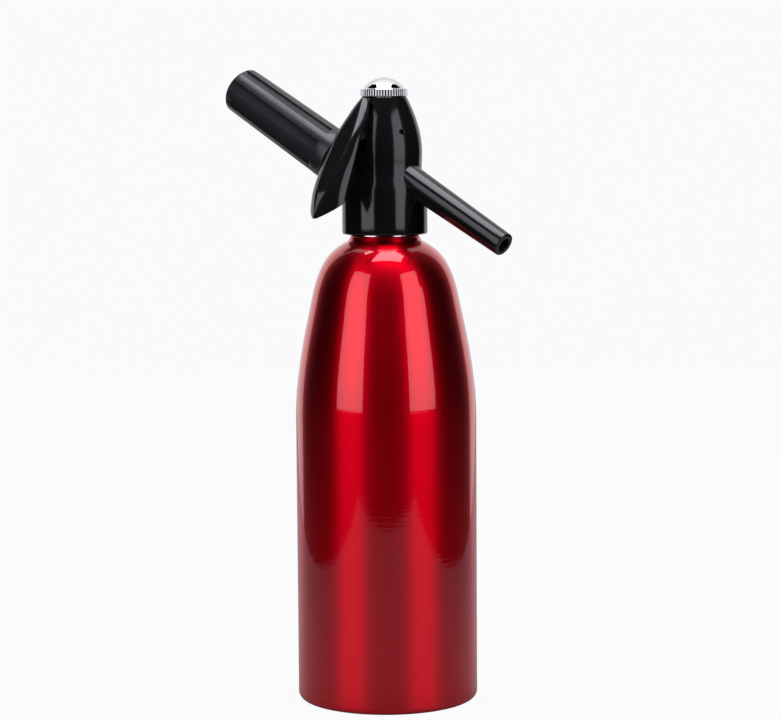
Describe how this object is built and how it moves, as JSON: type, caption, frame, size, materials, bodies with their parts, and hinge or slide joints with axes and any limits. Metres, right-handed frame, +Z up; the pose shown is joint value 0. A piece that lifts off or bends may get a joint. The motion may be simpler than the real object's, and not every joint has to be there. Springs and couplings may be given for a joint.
{
  "type": "soda siphon",
  "caption": "Soda siphon: round-shouldered metal bottle, bullet-shaped screw-on head, squeeze lever, sloping nozzle and fluted charger holder.",
  "frame": {"origin": "centre of the bottle's foot ring, on the surface it stands on", "axes": "+Z up along the bottle's axis, nozzle towards +X, charger holder towards -X, lever towards -Y"},
  "size_m": [0.1756, 0.1012, 0.3149],
  "materials": {
    "red_anodised": "red anodised aluminium under clear gloss lacquer",
    "black_gloss": "gloss black moulded plastic",
    "black_satin": "satin-gloss black moulded plastic",
    "chrome": "bright chrome plate",
    "steel": "plain stainless steel",
    "brass": "machined brass",
    "nickel": "turned and nickel plated",
    "clear_plastic": "natural moulded plastic",
    "seal_rubber": "dark food-grade rubber",
    "pale_rubber": "pale silicone rubber"
  },
  "bodies": {
    "bottle": {"bottle": "red_anodised"},
    "riser": {"riser_tube": "clear_plastic", "measuring_tube": "clear_plastic", "neck_gasket": "pale_rubber", "riser_seal": "seal_rubber"},
    "head": {"head_shell": "black_gloss", "neck_insert": "nickel", "valve_seat": "brass", "nozzle": "black_satin", "nozzle_seal": "seal_rubber", "top_cap": "chrome", "pivot_pin": "steel", "charger_nipple": "nickel", "piercing_pin": "steel", "pin_gasket": "seal_rubber", "inlet_filter": "brass"},
    "valve": {"valve_rod": "nickel", "seat_washer": "seal_rubber", "washer_screw": "steel", "rod_ring": "seal_rubber", "valve_spring": "steel"},
    "lever": {"lever": "black_gloss"},
    "charger": {"charger": "nickel"},
    "holder": {"charger_holder": "black_satin"}
  },
  "joints": [
    {"name": "head_lift", "type": "slide", "parent": "bottle", "child": "riser", "axis": [0, 0, 1], "range_m": [0, 0.012]},
    {"name": "head_turn", "type": "hinge", "parent": "riser", "child": "head", "pos_m": [0, 0, 0.24], "axis": [0, 0, 1], "range_deg": [0, 1440]},
    {"name": "lever_pivot", "type": "hinge", "parent": "head", "child": "lever", "pos_m": [0, -0.0065, 0.284], "axis": [1, 0, 0], "range_deg": [0, 14], "stiffness_Nm_per_rad": 0.085, "springref_deg": -26.36},
    {"name": "valve_lift", "type": "slide", "parent": "head", "child": "valve", "axis": [0, 0, 1], "range_m": [0, 0.0016], "deforming": ["valve_spring"]},
    {"name": "charger_lift", "type": "slide", "parent": "head", "child": "charger", "axis": [-0.8796, 0, 0.4756], "range_m": [0, 0.0108]},
    {"name": "holder_turn", "type": "hinge", "parent": "charger", "child": "holder", "pos_m": [0, 0, 0.2539], "axis": [-0.8796, 0, 0.4756], "range_deg": [0, 1800]}
  ],
  "couplings": [
    {"joint": "head_lift", "follows": "head_turn", "m_per_rad": 0.00047746},
    {"joint": "valve_lift", "follows": "lever_pivot", "m_per_rad": 0.0065},
    {"joint": "charger_lift", "follows": "holder_turn", "m_per_rad": 0.00031831}
  ]
}
